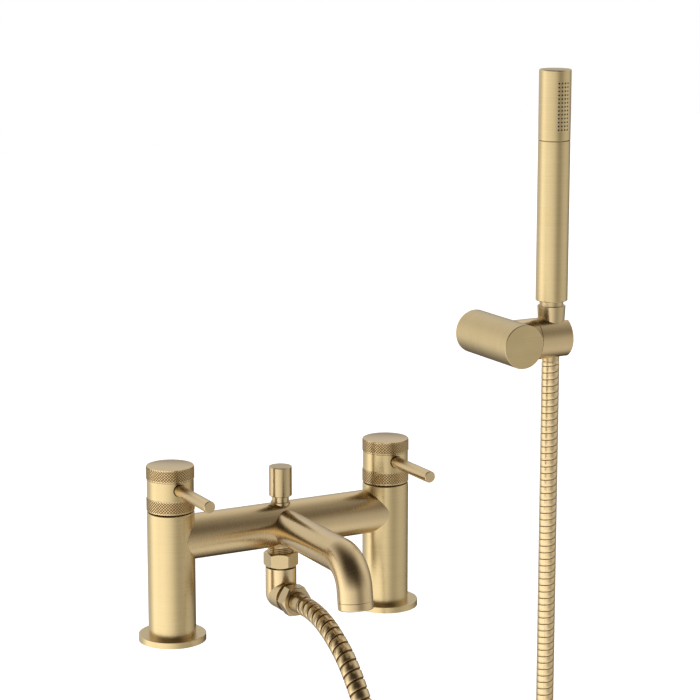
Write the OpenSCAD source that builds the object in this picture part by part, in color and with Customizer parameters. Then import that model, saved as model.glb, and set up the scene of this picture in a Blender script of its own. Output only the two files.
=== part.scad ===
// Deck mounted bath shower mixer in brushed brass, with hose, wall bracket and pencil handset.
// Millimetres. Origin midway between the two tap holes, at deck level. +Z is up.
// The hot pillar is at -X, the cold pillar at +X, the spout points to -Y and the wall is at +Y.

/* [Deck pillars] */
// Distance between the centres of the two tap holes
tap_centres = 180; // [150:1:220]
// Diameter of each pillar
pillar_d = 35.1; // [34:0.1:42]
// Height of the pillar tops above the deck
pillar_top = 98; // [95:0.5:115]
// Diameter of each base flange
flange_d = 50; // [46:0.5:64]
// Thickness of each base flange
flange_t = 5; // [4:0.25:8]
// Bore of the threaded inlet under each pillar
inlet_bore = 24.12; // [20:0.02:25]
// Depth of the threaded inlet
inlet_depth = 16; // [12:0.5:22]
// Wall of the spigot round the threaded inlet
spigot_wall = 2.9; // [2:0.1:3.4]
// Waterway between the inlet and the valve
waterway_d = 14; // [10:0.5:16]

/* [Valves] */
// Depth of the valve chamber below the pillar top
valve_depth = 46; // [44:0.5:52]
// Bore of the valve chamber
valve_bore = 25.6; // [25:0.1:26.5]
// Diameter of the threaded collar of the valve
collar_d = 28; // [27:0.1:29.5]
// Height of the threaded collar of the valve
collar_h = 10.5; // [8:0.5:12]
// Diameter of the ceramic discs
disc_d = 16.8; // [15:0.1:17.5]
// Diameter of the valve spindle
spindle_d = 8; // [7:0.1:9]

/* [Handles] */
// Open joint between the pillar and the turning handle
handle_gap = 0.8; // [0.5:0.1:1.5]
// Diameter of the knurled bands
knurl_d = 35.4; // [34.8:0.1:42]
// Diameter of the plain band between them
grip_d = 34.4; // [33:0.1:42]
// Diameter of the turned core inside the knurled bands
core_d = 29; // [27:0.5:31]
// Height of the lower knurled ring
ring_h = 10.5; // [8:0.25:14]
// Height of the plain band
grip_h = 13.4; // [12.5:0.1:18]
// Height of the knurled cap
cap_h = 10; // [9:0.25:14]
// Diameter of the lever rods
lever_d = 8.8; // [6:0.2:10]
// Distance from the handle axis to the lever tip
lever_reach = 68.5; // [45:0.5:90]
// Open joint round the lever where it enters the handle
lever_hole_gap = 0.5; // [0.4:0.1:1.2]
// Wall left between the lever hole and the knurled cap
lever_land = 0.6; // [0.4:0.1:1.5]

/* [Bridge and spout] */
// Diameter of the bridge tube
bridge_d = 33.5; // [30:0.1:34]
// Wall of the bridge tube
bridge_wall = 2.5; // [1.5:0.1:3]
// Height of the bridge axis above the deck
bridge_z = 76.5; // [72:0.5:80]
// Diameter of the spout tube
spout_d = 25.7; // [22:0.1:29]
// Wall of the spout tube
spout_wall = 2; // [1.2:0.1:2.5]
// Straight length of the spout from the bridge axis
spout_run = 95; // [70:0.5:140]
// Bend radius of the spout axis
spout_bend = 22.7; // [18:0.1:30]
// Turn of the spout's bend, degrees
spout_turn = 82; // [70:1:90]
// Straight length from the bend to the mouth
spout_tail = 14.2; // [11:0.1:24]
// Height of the aerator ring on the mouth
mouth_ring_h = 6; // [5:0.25:8]

/* [Diverter] */
// Diameter of the pull knob
knob_d = 17.2; // [14:0.1:22]
// Height of the pull knob
knob_h = 22.7; // [18:0.1:30]
// Height of the neck below the knob
neck_h = 4.65; // [3.5:0.05:8]
// Diameter of the neck
neck_d = 12.6; // [11.6:0.1:13.6]
// Diameter of the seat boss on the bridge
boss_d = 14.8; // [14:0.1:18]
// Travel of the pull knob
diverter_travel = 9; // [5:0.5:12]
// Diameter of the diverter stem
stem_d = 6; // [5:0.1:7]

/* [Shower outlet] */
// Thread diameter of the nipple under the bridge
outlet_thread_d = 19.6; // [18.6:0.1:20.4]
// Thread diameter of the elbow's outlet
hose_thread_d = 18.4; // [17.4:0.1:19]
// Waterway of the nipple and the elbow
outlet_bore = 11; // [8:0.5:12]
// Width across flats of the union nut
nut_af = 23; // [22:0.1:27]
// Height of the union nut
union_nut_h = 11.2; // [10.5:0.1:14]
// Visible thread between the bridge and the union nut
thread_show = 4.65; // [3:0.05:8]
// Diameter of the elbow's upright body
elbow_d = 23.3; // [22:0.1:26]
// Height of the elbow's outlet axis above the deck
elbow_z = 22.5; // [20:0.5:25]
// Length of the elbow's outlet from the diverter axis to its shoulder
elbow_reach = 15; // [14:0.5:18]
// Width across flats of the hose nut
hose_nut_af = 21.5; // [21:0.1:27]
// Length of the hose nut
hose_nut_h = 9.8; // [9.5:0.1:15]
// Open joint between the elbow's shoulder and the hose nut
hose_nut_gap = 2.6; // [0.8:0.1:4]

/* [Hose] */
// Outer diameter of the hose over its ribs
hose_d = 14.5; // [12:0.1:15]
// Depth of the groove between two ribs
rib_depth = 0.9; // [0.4:0.1:1.5]
// Bore of the hose
hose_bore = 8; // [6:0.5:10]
// Number of ribs along the hose
rib_count = 200; // [60:1:200]

/* [Wall bracket] */
// Place of the handset axis, right of the diverter axis
riser_x = 276; // [200:1:320]
// Place of the handset axis, behind the diverter axis
riser_y = 57; // [40:1:90]
// Height of the bracket axis above the deck
bracket_z = 183.5; // [150:0.5:260]
// Diameter of the wall post
post_d = 36; // [35:0.5:44]
// Length of the wall post
post_len = 77; // [70:0.5:110]
// Distance from the handset axis to the front of the post
post_front = 25; // [22:0.5:30]
// Distance from the handset axis to the post axis
post_offset = 41.3; // [39:0.1:50]
// Diameter of the holder arm
arm_d = 34; // [30:0.5:34.5]
// Distance from the handset axis to the joint in the arm
arm_seam = 18; // [17:0.1:20]
// Distance from the handset axis to the end of the arm
arm_end = 11.3; // [11.2:0.1:15]
// Width of the open slot for the hose
slot_w = 16.4; // [15.4:0.1:18]
// Spacing of the two wall screws
wall_screw_spacing = 15; // [13:0.5:16]
// Hole for each wall screw
wall_screw_d = 4.5; // [3.5:0.1:5]

/* [Handset] */
// Diameter of the handset
handset_d = 26; // [24:0.1:32]
// Wall of the handset tubes
handset_wall = 1.6; // [1:0.1:2]
// Length of the barrel
barrel_len = 130.6; // [90:0.2:180]
// Length of the spray head
head_len = 57; // [52:0.5:80]
// Height of the cone nut's top above the bracket axis
cone_top = 26.4; // [24:0.1:32]
// Diameter of the cone nut at its top
cone_d = 23; // [22:0.1:24]
// Narrowing of the cone nut's diameter per millimetre of height
cone_taper = 0.1; // [0.06:0.01:0.12]
// Length of the cone nut
cone_len = 32; // [30:0.5:38]
// Length of the hose's upper ferrule below the cone nut
top_ferrule_show = 13.6; // [10:0.1:20]
// Visible neck between the cone nut and the barrel
neck_show = 4.4; // [2:0.1:8]
// Columns of nozzles
nozzle_cols = 4; // [2:1:5]
// Rows of nozzles
nozzle_rows = 13; // [5:1:14]
// Angle between two columns of nozzles, degrees
nozzle_step_deg = 12.3; // [8:0.1:14]
// Distance between two rows of nozzles
nozzle_pitch = 3.1; // [2.2:0.1:3.4]
// Distance from the top of the spray head down to the first row of nozzles
nozzle_edge = 10.5; // [8:0.5:13]
// Diameter of one nozzle hole
nozzle_d = 1.5; // [1:0.1:1.8]

/* [Fits] */
// Radial clearance of turning and sliding fits
run_fit = 0.05; // [0.02:0.01:0.1]
// Radial clearance of screwed, pressed and soldered fits
seat_fit = 0.05; // [0.02:0.01:0.1]
// Open clearance between pieces that part in use
part_gap = 0.3; // [0.2:0.05:0.5]
// Radius of the broken outer edges
edge_r = 0.6; // [0.3:0.1:0.9]

/* [Hidden] */
$fn = 96;
eps = 0.01;
steel = "#9A9A98";
brass = "#CFB37E";
brass_dark = "#B2925A";
rubber = "#2B2B2B";
ceramic = "#E9E6DC";
plastic = "#D9D9D6";

// Hose route, from the elbow's ferrule down round the hanging loop and up to the holder
route = [
    [0, -40, 22.5], [0, -48, 22.5], [0, -61, 21], [0, -75, 17], [0, -90, 10],
    [0, -104, 1], [0, -117, -11], [0, -129, -25], [0, -140, -42], [0, -148, -62],
    [0, -153, -85], [0, -155, -112], [0, -155, -150], [0, -155, -188], [0, -155, -226],
    [6, -150, -272], [18, -141, -314], [40, -124, -350], [69, -102, -378], [102, -77, -395],
    [138, -49, -401], [174, -21, -395], [207, 4, -378], [236, 26, -350], [258, 43, -314],
    [270, 52, -272], [276, 57, -226], [276, 57, -170], [276, 57, -110], [276, 57, -50],
    [276, 57, 10], [276, 57, 70], [276, 57, 120], [276, 57, 149], [276, 57, 164]
];
// A direction that no stretch of the route runs along, for squaring the rings
route_ref = [0.9, -0.44, 0];
hose_sides = 8;
bore_step = 5;
hose_out = -route[0][1];

// Pillar, inlet and valve levels
pillar_x = tap_centres / 2;
spigot_d = inlet_bore + 2 * spigot_wall;
gasket_t = 2;
gasket_in = spigot_d + 4;
key_af = 2.5;
gasket_out = (gasket_in + flange_d) / 2;
valve_floor = pillar_top - valve_depth;
seal_t = 2.5;
fixed_disc_t = 3.5;
moving_disc_t = 3;
drive_h = 5;
disc_play = 0.5;
valve_bottom = valve_floor + seal_t;
disc_split = valve_bottom + fixed_disc_t;
drive_z = disc_split + run_fit + moving_disc_t;
valve_ceiling = drive_z + drive_h + run_fit;
valve_wall = 1.8;
valve_bore_in = disc_d + 2 * seat_fit;
waist_d = valve_bore_in + 2 * valve_wall;
collar_top = pillar_top - 1;
guide_d = 20;
guide_h = 3.5;
guide_play = 2;
port_d = 17;

// Handle levels
handle_z = pillar_top + handle_gap;
grip_z = handle_z + ring_h;
cap_z = grip_z + grip_h;
handle_top = cap_z + cap_h;
lever_hole_d = lever_d + 2 * lever_hole_gap;
lever_z = cap_z - lever_land - lever_hole_d / 2;
lever_root = grip_d / 2 - 5;
lever_stud_d = 5.8;
lever_stud_len = 6;
guide_room = collar_top + guide_h + part_gap;
spindle_top = lever_z - lever_d / 2;
screw_d = 3.8;
screw_head_d = 7.4;
screw_head_h = 3;
screw_grip = 7;
cap_roof = 3.7;
spigot_h = cap_h - cap_roof;
screw_seat = cap_z + spigot_h - screw_head_h;
screw_len = screw_seat - spindle_top + screw_grip;

// Bridge, spout and diverter levels
bridge_r = bridge_d / 2;
bridge_top = bridge_z + bridge_r;
bridge_bottom = bridge_z - bridge_r;
bridge_in = bridge_d - 2 * bridge_wall;
spout_in = spout_d - 2 * spout_wall;
weld_step = 0.3;
weld_len = 0.8;
aerator_bore = spout_in - 0.6;
aerator_lip = 0.8;
aerator_t = 4;
ring_tail = 2;
aerator_hole = 1.7;
aerator_pitch = 3.4;
boss_top = bridge_top + 0.6;
neck_top = boss_top + neck_h - part_gap;
knob_z = boss_top + neck_h;
bush_thread_d = neck_d - 1.6;
stem_top = knob_z + knob_h / 2;
seat_top = bridge_z - bridge_in / 2 + 0.7;
valve_disc_t = 3.5;
valve_disc_d = 15.4;
valve_disc_z = seat_top + part_gap;
stem_collar_h = 1.6;
stem_collar_d = stem_d + 3.4;
stem_collar_z = valve_disc_z + valve_disc_t;
bush_bottom = stem_collar_z + stem_collar_h + diverter_travel + part_gap;

// Shower outlet levels
nut_top = bridge_bottom - thread_show;
nut_bottom = nut_top - union_nut_h;
nut_lip = 2.5;
collar_ring_t = 2;
washer_t = 1.8;
lip_top = nut_bottom + nut_lip;
elbow_face = lip_top + collar_ring_t;
nipple_bottom = elbow_face + washer_t;
elbow_gap = 0.8;
elbow_top = nut_bottom - elbow_gap;
elbow_neck_d = 16.4;
leg_d = elbow_d - 0.3;
hose_nut_y = elbow_reach + hose_nut_gap;
hose_nut_end = hose_nut_y + hose_nut_h;
hose_lip = hose_nut_end - nut_lip;
spigot_end = hose_lip - collar_ring_t - washer_t;
ferrule_d = hose_d + 0.5;
thread_clear_d = outlet_thread_d + 2 * seat_fit;
collar_ring_d = outlet_thread_d - 0.8;
hose_clear_d = hose_thread_d + 2 * seat_fit;
hose_collar_d = hose_thread_d - 0.8;
nipple_seat_d = collar_ring_d - 2;

// Wall bracket places
post_x = riser_x - post_offset;
wall_y = riser_y - post_front + post_len;
post_y = riser_y - post_front;
seam_x = riser_x - arm_seam;
post_wall = 3.5;
plate_d = post_d - 2 * post_wall - 2 * seat_fit;
plate_t = 14;
plate_face = wall_y - plate_t;
front_t = 10;
stub_pin_d = 14;
pivot_d = 12;
pivot_len = 3;
pivot_screw_d = 4.8;
pivot_head_d = 8.6;
pivot_head_h = 1.6;
grub_d = 4.8;
grub_len = 7;
grub_sunk = 0.5;
thread_step = 0.8;
plate_hole = 10;
pivot_screw_grip = 6;

// Handset levels
cone_z = bracket_z + cone_top;
cone_bottom = cone_z - cone_len;
top_ferrule_d = hose_d - 0.3;
top_ferrule_wall = 0.4;
top_ferrule_z = cone_bottom - top_ferrule_show;
cone_floor = 4;
ferrule_flange_t = 2;
flange_z = cone_bottom + cone_floor;
neck_z = flange_z + ferrule_flange_t + washer_t;
neck_thread_d = 19.4;
neck_bore = 14;
washer_d = neck_thread_d - 0.6;
barrel_floor = 2;
barrel_z = cone_z + neck_show;
seam_z = barrel_z + barrel_len;
head_top = seam_z + head_len;
seam_gap = 0.4;
handset_in = handset_d - 2 * handset_wall;
joint_len = 9;
cap_t = 3;
rubber_t = 1.4;
rubber_edge = 2.5;
nub_sunk = 0.1;
nozzle_top = head_top - nozzle_edge;
nozzle_span = nozzle_pitch * (nozzle_rows - 1);
fan_deg = nozzle_step_deg * (nozzle_cols - 1);
rubber_deg = fan_deg + 16;

// Shared shapes

// Half outline of a disc with rounded rims at its foot and its top
module rim_outline(d, h, foot_r, top_r) {
    r = d / 2;
    difference() {
        square([r, h]);
        if (foot_r > 0) translate([r - foot_r, -eps]) square([foot_r + eps, foot_r + eps]);
        if (top_r > 0) translate([r - top_r, h - top_r]) square([top_r + eps, top_r + eps]);
    }
    if (foot_r > 0) translate([r - foot_r, foot_r]) intersection() {
        circle(foot_r);
        translate([0, -foot_r]) square(foot_r);
    }
    if (top_r > 0) translate([r - top_r, h - top_r]) intersection() {
        circle(top_r);
        square(top_r);
    }
}

module turned_disc(d, h, foot_r, top_r) {
    rotate_extrude() rim_outline(d, h, foot_r, top_r);
}

module ring(d_out, d_in, z, h) {
    translate([0, 0, z]) difference() {
        cylinder(d = d_out, h = h);
        translate([0, 0, -1]) cylinder(d = d_in, h = h + 2);
    }
}

// Hexagon with its corners turned off by a 30 degree cone at both ends
module hex_blank(af, h) {
    corner_r = af / 2 / cos(30);
    face_r = af / 2 - edge_r;
    fall = (corner_r - face_r) * tan(30);
    intersection() {
        cylinder(r = corner_r, h = h, $fn = 6);
        rotate_extrude() polygon([
            [0, 0], [face_r, 0], [corner_r, fall], [corner_r, h - fall], [face_r, h], [0, h]
        ]);
    }
}

// Room for a hexagon key
module hex_socket(depth) {
    cylinder(d = key_af / cos(30), h = depth, $fn = 6);
}

module along_y(y) {
    translate([0, -y, elbow_z]) rotate([90, 0, 0]) children();
}

module at_hot() {
    translate([-pillar_x, 0, 0]) children();
}

module at_cold() {
    translate([pillar_x, 0, 0]) children();
}

module at_riser() {
    translate([riser_x, riser_y, 0]) children();
}

// A cylinder along the arm, from one distance left of the handset axis to another
module arm_bar(d, from, to) {
    translate([riser_x - from, riser_y, bracket_z]) rotate([0, 90, 0])
        cylinder(d = d, h = from - to);
}

// A cylinder along the post, between two depths
module post_bar(d, y0, y1) {
    translate([post_x, y1, bracket_z]) rotate([90, 0, 0]) cylinder(d = d, h = y1 - y0);
}

module bridge_bar(d) {
    translate([-pillar_x, 0, bridge_z]) rotate([0, 90, 0]) cylinder(d = d, h = tap_centres);
}

// Pillars and valves

module base_flange() {
    color(brass) difference() {
        turned_disc(flange_d, flange_t, 0, edge_r);
        translate([0, 0, -1]) cylinder(d = spigot_d + 2 * seat_fit, h = flange_t + 2);
        translate([0, 0, -1]) cylinder(d = gasket_out + 2 * seat_fit, h = gasket_t + 1);
    }
}

module base_gasket() {
    color(rubber) ring(gasket_out, gasket_in, 0, gasket_t);
}

// side is the direction of the bridge: 1 towards +X, -1 towards -X
module pillar(side) {
    color(brass) difference() {
        union() {
            translate([0, 0, flange_t]) turned_disc(pillar_d, pillar_top - flange_t, 0, edge_r);
            cylinder(d = spigot_d, h = flange_t);
        }
        translate([0, 0, -1]) cylinder(d = inlet_bore, h = inlet_depth + 1);
        cylinder(d = waterway_d, h = valve_floor + 1);
        translate([0, 0, valve_floor]) cylinder(d = valve_bore, h = valve_depth + 1);
        translate([0, 0, collar_top - collar_h])
            cylinder(d = collar_d + 2 * seat_fit, h = collar_h + 2);
        translate([0, 0, bridge_z]) rotate([0, 90 * side, 0]) cylinder(d = port_d, h = pillar_d);
    }
}

module valve_seal() {
    color(rubber) ring(valve_bore - 2 * seat_fit, waterway_d, valve_floor, seal_t);
}

module valve_body() {
    foot_r = valve_bore / 2 - seat_fit;
    window_w = 8;
    color(brass_dark) difference() {
        rotate_extrude() polygon([
            [spindle_d / 2 + run_fit, valve_ceiling], [valve_bore_in / 2, valve_ceiling],
            [valve_bore_in / 2, valve_bottom], [foot_r, valve_bottom], [foot_r, disc_split],
            [waist_d / 2, disc_split], [waist_d / 2, collar_top - collar_h],
            [collar_d / 2, collar_top - collar_h], [collar_d / 2, collar_top],
            [guide_d / 2, collar_top], [guide_d / 2, collar_top + guide_h],
            [spindle_d / 2 + run_fit, collar_top + guide_h]
        ]);
        translate([-waist_d, -window_w / 2, disc_split + 1])
            cube([2 * waist_d, window_w, moving_disc_t + drive_h - 2]);
    }
}

// Ceramic disc with two quarter-circle water ways
module ceramic_disc(d, z, t) {
    way_d = 4.6;
    color(ceramic) difference() {
        translate([0, 0, z]) cylinder(d = d, h = t);
        for (s = [-1, 1]) translate([s * d / 4, 0, z - 1]) cylinder(d = way_d, h = t + 2);
    }
}

module fixed_disc() {
    ceramic_disc(disc_d, valve_bottom, fixed_disc_t);
}

// The closed valve has the moving disc's ways square to the fixed disc's
module moving_disc() {
    rotate([0, 0, 90]) ceramic_disc(disc_d - disc_play, disc_split + run_fit, moving_disc_t);
}

module spindle() {
    color(brass_dark) difference() {
        union() {
            translate([0, 0, drive_z]) cylinder(d = disc_d - disc_play, h = drive_h);
            translate([0, 0, drive_z]) cylinder(d = spindle_d, h = spindle_top - drive_z);
        }
        translate([0, 0, screw_seat - screw_len - 1])
            cylinder(d = screw_d + 2 * seat_fit, h = screw_len);
    }
}

// Handles

module handle_ring() {
    color(brass) translate([0, 0, handle_z]) difference() {
        turned_disc(knurl_d, ring_h, edge_r / 2, edge_r / 2);
        translate([0, 0, -1]) cylinder(d = core_d + 2 * seat_fit, h = ring_h + 2);
    }
}

module handle_body() {
    color(brass) difference() {
        union() {
            translate([0, 0, handle_z]) cylinder(d = core_d, h = ring_h);
            translate([0, 0, grip_z]) cylinder(d = grip_d, h = grip_h);
            translate([0, 0, cap_z]) cylinder(d = core_d, h = spigot_h);
        }
        translate([0, 0, handle_z - 1])
            cylinder(d = guide_d + guide_play, h = guide_room - handle_z + 1);
        translate([0, 0, handle_z]) cylinder(d = spindle_d + 2 * seat_fit, h = spindle_top - handle_z);
        translate([0, 0, handle_z]) cylinder(d = screw_d + 2 * seat_fit, h = handle_top - handle_z);
        translate([0, 0, screw_seat]) cylinder(d = screw_head_d + 2 * seat_fit, h = cap_h);
        translate([0, -lever_root, lever_z]) rotate([90, 0, 0]) cylinder(d = lever_hole_d, h = grip_d);
        translate([0, -lever_root + lever_stud_len, lever_z]) rotate([90, 0, 0])
            cylinder(d = lever_stud_d + 2 * seat_fit, h = grip_d);
    }
}

module handle_cap() {
    color(brass) translate([0, 0, cap_z]) difference() {
        turned_disc(knurl_d, cap_h, edge_r / 2, edge_r);
        translate([0, 0, -1]) cylinder(d = core_d + 2 * seat_fit, h = spigot_h + 1 + seat_fit);
    }
}

module lever() {
    color(brass) translate([0, -lever_root, lever_z]) rotate([90, 0, 0]) {
        turned_disc(lever_d, lever_reach - lever_root, 0, edge_r);
        translate([0, 0, -lever_stud_len + seat_fit])
            cylinder(d = lever_stud_d, h = lever_stud_len);
    }
}

module handle_screw() {
    color(steel) difference() {
        union() {
            translate([0, 0, screw_seat]) cylinder(d = screw_head_d, h = screw_head_h);
            translate([0, 0, screw_seat - screw_len]) cylinder(d = screw_d, h = screw_len);
        }
        translate([0, 0, screw_seat + 1]) hex_socket(screw_head_h);
    }
}

// Bridge and spout

module bridge_tube() {
    color(brass) difference() {
        bridge_bar(bridge_d);
        bridge_bar(bridge_in);
        for (s = [-1, 1]) translate([s * pillar_x, 0, bridge_z - bridge_d])
            cylinder(d = pillar_d + 2 * seat_fit, h = 2 * bridge_d);
        translate([0, 0, bridge_z]) cylinder(d = bush_thread_d + 2 * seat_fit, h = bridge_d);
        translate([0, 0, bridge_z - bridge_d])
            cylinder(d = nipple_seat_d + 2 * seat_fit, h = bridge_d);
        translate([0, 0, bridge_z]) rotate([90, 0, 0]) cylinder(d = spout_in, h = bridge_d);
    }
}

// Frame at the centre of the spout's bend, turned so that the mouth end is its X axis
module at_bend() {
    translate([0, -spout_run, bridge_z - spout_bend]) rotate([90, 0, -90])
        rotate([0, 0, 90 - spout_turn]) children();
}

// Frame at the end of the bend, with Z down along the tail
module at_tail() {
    at_bend() translate([spout_bend, 0, 0]) rotate([90, 0, 0]) children();
}

// Frame at the mouth, with Z back into the spout
module at_mouth() {
    at_tail() translate([0, 0, spout_tail]) rotate([180, 0, 0]) children();
}

// Straight, bend and tail, with a hair-fine weld bead over each joint
module spout_shape(d) {
    tail = spout_tail - mouth_ring_h;
    translate([0, 0, bridge_z]) rotate([90, 0, 0]) {
        cylinder(d = d, h = spout_run);
        translate([0, 0, spout_run - weld_len / 2]) cylinder(d = d + weld_step, h = weld_len);
    }
    at_bend() rotate_extrude(angle = spout_turn) translate([spout_bend, 0]) circle(d = d);
    at_tail() {
        cylinder(d = d, h = tail);
        translate([0, 0, -weld_len / 2]) cylinder(d = d + weld_step, h = weld_len);
    }
}

module spout() {
    color(brass) difference() {
        spout_shape(spout_d);
        spout_shape(spout_in);
        bridge_bar(bridge_d + 2 * seat_fit);
    }
}

module aerator_ring() {
    seam = 0.3;
    color(brass) at_mouth() difference() {
        union() {
            turned_disc(spout_d, mouth_ring_h - seam, edge_r * 1.5, edge_r / 2);
            cylinder(d = spout_in - 2 * seat_fit, h = mouth_ring_h + ring_tail);
        }
        translate([0, 0, -1]) cylinder(d = aerator_bore - 2 * aerator_lip, h = mouth_ring_h + 2 * ring_tail);
        translate([0, 0, aerator_lip]) cylinder(d = aerator_bore, h = mouth_ring_h + 2 * ring_tail);
    }
}

module aerator() {
    rings = floor((aerator_bore / 2 - 2) / aerator_pitch);
    color(plastic) at_mouth() translate([0, 0, aerator_lip]) difference() {
        cylinder(d = aerator_bore - 2 * seat_fit, h = aerator_t);
        translate([0, 0, -1]) cylinder(d = aerator_hole, h = aerator_t + 2);
        for (k = [1 : rings], a = [0 : 6 * k - 1]) rotate([0, 0, a * 60 / k])
            translate([k * aerator_pitch, 0, -1]) cylinder(d = aerator_hole, h = aerator_t + 2);
    }
}

// Diverter

module diverter_bush() {
    color(brass) difference() {
        union() {
            difference() {
                union() {
                    translate([0, 0, bridge_z]) cylinder(d = boss_d, h = boss_top - bridge_z);
                    translate([0, 0, bridge_z]) cylinder(d = neck_d, h = neck_top - bridge_z);
                }
                bridge_bar(bridge_d + 2 * seat_fit);
            }
            translate([0, 0, bush_bottom])
                cylinder(d = bush_thread_d, h = boss_top - bush_bottom + neck_h / 2);
        }
        translate([0, 0, bush_bottom - 1]) cylinder(d = stem_d + 2 * run_fit, h = bridge_d);
    }
}

module diverter_knob() {
    color(brass) translate([0, 0, knob_z]) difference() {
        turned_disc(knob_d, knob_h, edge_r, edge_r);
        translate([0, 0, -1]) cylinder(d = stem_d + 2 * seat_fit, h = stem_top - knob_z + 1);
    }
}

module diverter_stem() {
    color(brass_dark) {
        translate([0, 0, valve_disc_z]) cylinder(d = stem_d, h = stem_top - valve_disc_z);
        translate([0, 0, stem_collar_z]) cylinder(d = stem_collar_d, h = stem_collar_h);
    }
}

module diverter_disc() {
    color(rubber) ring(valve_disc_d, stem_d + 2 * seat_fit, valve_disc_z, valve_disc_t);
}

// Shower outlet

module shower_nipple() {
    color(brass) difference() {
        union() {
            difference() {
                translate([0, 0, nipple_bottom])
                    cylinder(d = outlet_thread_d, h = bridge_z - nipple_bottom);
                bridge_bar(bridge_d + 2 * seat_fit);
            }
            translate([0, 0, bridge_bottom - 1])
                cylinder(d = nipple_seat_d, h = seat_top - bridge_bottom + 1);
        }
        translate([0, 0, nipple_bottom - 1]) cylinder(d = outlet_bore, h = bridge_d);
    }
}

module union_nut() {
    color(brass) translate([0, 0, nut_bottom]) difference() {
        rotate([0, 0, 30]) hex_blank(nut_af, union_nut_h);
        translate([0, 0, -1]) cylinder(d = elbow_neck_d + 2 * seat_fit, h = nut_lip + 2);
        translate([0, 0, nut_lip]) cylinder(d = thread_clear_d, h = union_nut_h);
    }
}

module elbow_washer() {
    color(rubber) ring(collar_ring_d, outlet_bore, elbow_face, washer_t);
}

module outlet_elbow() {
    color(brass) difference() {
        union() {
            translate([0, 0, elbow_z]) cylinder(d = elbow_d, h = elbow_top - elbow_z);
            translate([0, 0, elbow_z]) sphere(d = elbow_d);
            along_y(0) cylinder(d = leg_d, h = elbow_reach);
            along_y(0) cylinder(d = hose_thread_d, h = spigot_end);
            translate([0, 0, elbow_z]) cylinder(d = elbow_neck_d, h = elbow_face - elbow_z);
            translate([0, 0, lip_top]) cylinder(d = collar_ring_d, h = collar_ring_t);
        }
        translate([0, 0, elbow_z]) cylinder(d = outlet_bore, h = bridge_z);
        along_y(0) cylinder(d = outlet_bore, h = bridge_z);
        translate([0, 0, elbow_z]) sphere(d = outlet_bore);
    }
}

module hose_nut() {
    color(brass) along_y(hose_nut_y) difference() {
        hex_blank(hose_nut_af, hose_nut_h);
        translate([0, 0, -1]) cylinder(d = hose_clear_d, h = hose_nut_h - nut_lip + 1);
        cylinder(d = ferrule_d + 2 * seat_fit, h = hose_nut_h + 1);
    }
}

module hose_washer() {
    color(rubber) along_y(spigot_end) difference() {
        cylinder(d = hose_collar_d, h = washer_t);
        translate([0, 0, -1]) cylinder(d = outlet_bore, h = washer_t + 2);
    }
}

module hose_ferrule() {
    flange_y = spigot_end + washer_t;
    sleeve = hose_out - flange_y;
    color(brass) along_y(flange_y) difference() {
        union() {
            cylinder(d = hose_collar_d, h = collar_ring_t);
            turned_disc(ferrule_d, sleeve, 0, edge_r);
        }
        translate([0, 0, -1]) cylinder(d = hose_bore, h = sleeve + 2);
    }
}

// Ribbed hose

function unit(v) = v / norm(v);
function route_at(i) = route[max(0, min(len(route) - 1, i))];

// Smooth curve through the route's points; t counts points
function route_point(t) =
    let (
        i = min(floor(t), len(route) - 2),
        u = t - i,
        a = route_at(i - 1),
        b = route_at(i),
        c = route_at(i + 1),
        d = route_at(i + 2)
    )
    ((2 * b) + (c - a) * u + (2 * a - 5 * b + 4 * c - d) * u * u
        + (3 * b - a - 3 * c + d) * u * u * u) / 2;

function route_dir(t) =
    let (h = 0.02, last = len(route) - 1)
    unit(route_point(min(t + h, last)) - route_point(max(t - h, 0)));

// Lengths along the route at fine steps, and the place at a given length
fine = 12;
fine_count = fine * (len(route) - 1);
function lengths_to(k) =
    k == 0 ? [0]
    : let (before = lengths_to(k - 1))
        concat(before, before[k - 1] + norm(route_point(k / fine) - route_point((k - 1) / fine)));
fine_length = lengths_to(fine_count);
hose_length = fine_length[fine_count];
function step_before(s, lo, hi) =
    hi - lo <= 1 ? lo
    : let (mid = floor((lo + hi) / 2))
        fine_length[mid] <= s ? step_before(s, mid, hi) : step_before(s, lo, mid);
function route_t(s) =
    let (
        k = step_before(s, 0, fine_count),
        part = (s - fine_length[k]) / (fine_length[k + 1] - fine_length[k])
    )
    (k + part) / fine;

function hose_ring(s, r) =
    let (
        t = route_t(s),
        dir = route_dir(t),
        side = unit(cross(dir, route_ref)),
        up = cross(side, dir),
        c = route_point(t)
    )
    [for (j = [0 : hose_sides - 1])
        let (a = 360 * j / hose_sides) c + r * (cos(a) * side + sin(a) * up)];

function band(first, next, j) =
    let (k = (j + 1) % hose_sides)
    [[first + j, next + k, next + j], [first + j, first + k, next + k]];

module shower_hose() {
    rib_pitch = hose_length / rib_count;
    skin = [for (i = [0 : 2 * rib_count])
        hose_ring(i * rib_pitch / 2, hose_d / 2 - (i % 2 == 0 ? rib_depth : 0))];
    core = [for (i = [2 * rib_count : -2 * bore_step : 0])
        hose_ring(i * rib_pitch / 2, hose_bore / 2)];
    rings = concat(skin, core);
    count = len(rings);
    points = [for (r = rings, p = r) p];
    faces = [for (i = [0 : count - 1], j = [0 : hose_sides - 1])
        each band(i * hose_sides, ((i + 1) % count) * hose_sides, j)];
    color(brass) polyhedron(points, faces);
    echo(hose_length = hose_length, rib_pitch = rib_pitch, triangles = len(faces));
}

// Wall bracket

module wall_plate() {
    color(brass_dark) difference() {
        post_bar(plate_d, plate_face, wall_y);
        for (s = [-1, 1]) translate([s * wall_screw_spacing / 2, 0, 0])
            post_bar(wall_screw_d, plate_face - 1, wall_y + 1);
        translate([post_x, wall_y - plate_t / 2, bracket_z - post_d / 2])
            cylinder(d = grub_d - thread_step + 2 * seat_fit, h = plate_hole);
    }
}

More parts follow.
